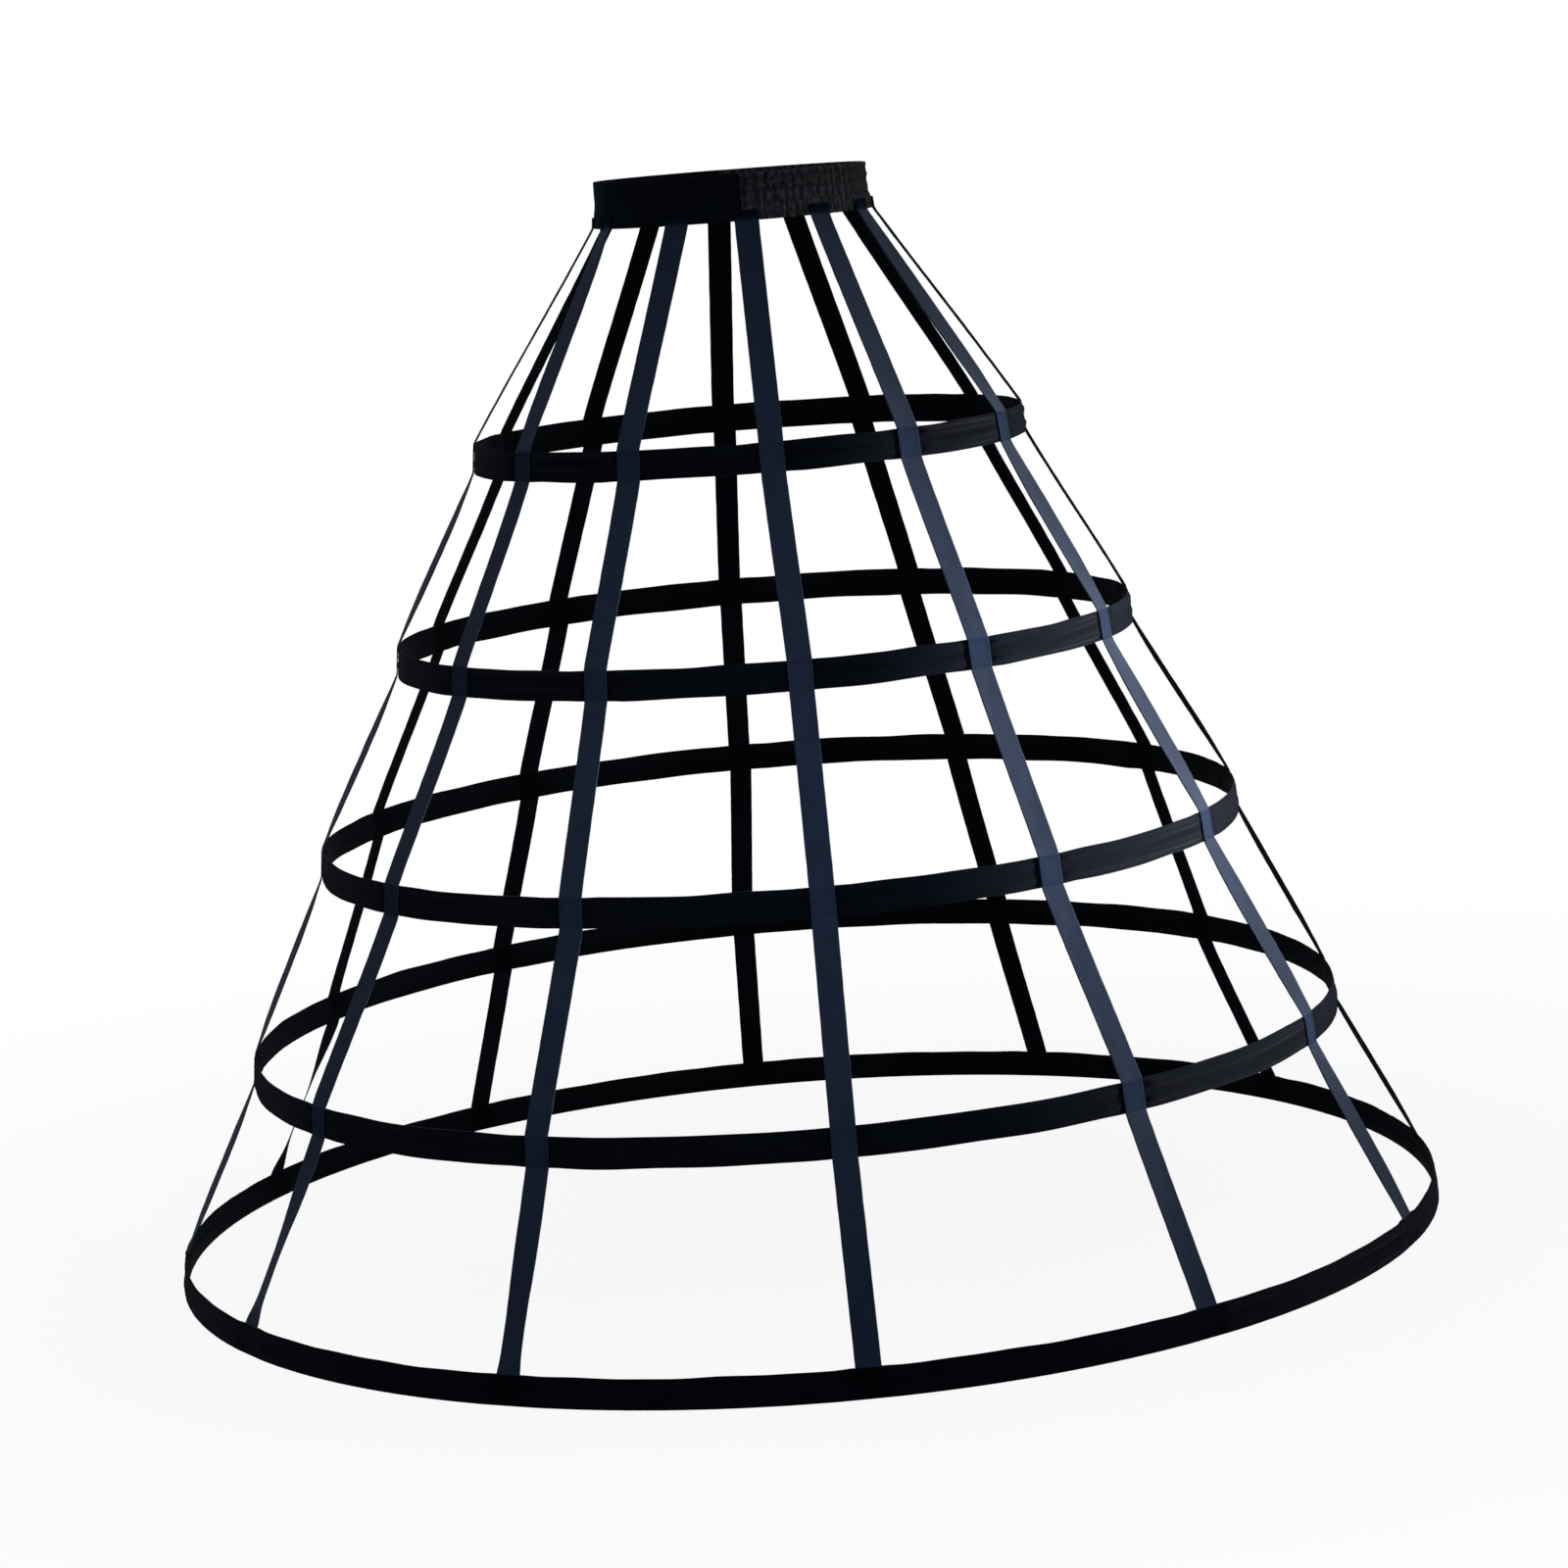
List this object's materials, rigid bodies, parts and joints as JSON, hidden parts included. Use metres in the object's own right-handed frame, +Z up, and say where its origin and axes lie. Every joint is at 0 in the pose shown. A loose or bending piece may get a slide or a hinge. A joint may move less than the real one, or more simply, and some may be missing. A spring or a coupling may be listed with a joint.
{
  "type": "crinoline cage",
  "caption": "Open bell-shaped skirt support: cased hoops widening downwards, hung on flat tapes from an elastic-backed waistband.",
  "frame": {"origin": "on the floor, in the middle of the bottom hoop", "axes": "+Z up along the cage's axis, -Y the flat front of the waistband, X through its two side seams"},
  "size_m": [1.0798, 1.08, 0.903],
  "materials": {
    "waistband_cloth": "plain woven black cotton",
    "shirred_cloth": "gathered black cotton",
    "elastic": "woven elastic",
    "casing_cloth": "black twill casing",
    "tape": "blue-black woven tape",
    "hoop_bone": "flat springy boning",
    "joiner": "pressed sleeve"
  },
  "bodies": {
    "root": {"waistband_front": "waistband_cloth", "waistband_back": "shirred_cloth", "waistband_elastic": "elastic", "hoop_casing_1": "casing_cloth", "hoop_bone_1": "hoop_bone", "hoop_joiner_1": "joiner", "hoop_casing_2": "casing_cloth", "hoop_bone_2": "hoop_bone", "hoop_joiner_2": "joiner", "hoop_casing_3": "casing_cloth", "hoop_bone_3": "hoop_bone", "hoop_joiner_3": "joiner", "hoop_casing_4": "casing_cloth", "hoop_bone_4": "hoop_bone", "hoop_joiner_4": "joiner", "hoop_casing_5": "casing_cloth", "hoop_bone_5": "hoop_bone", "hoop_joiner_5": "joiner", "tape_01": "tape", "tape_02": "tape", "tape_03": "tape", "tape_04": "tape", "tape_05": "tape", "tape_06": "tape", "tape_07": "tape", "tape_08": "tape", "tape_09": "tape", "tape_10": "tape", "tape_11": "tape", "tape_12": "tape"}
  },
  "joints": []
}
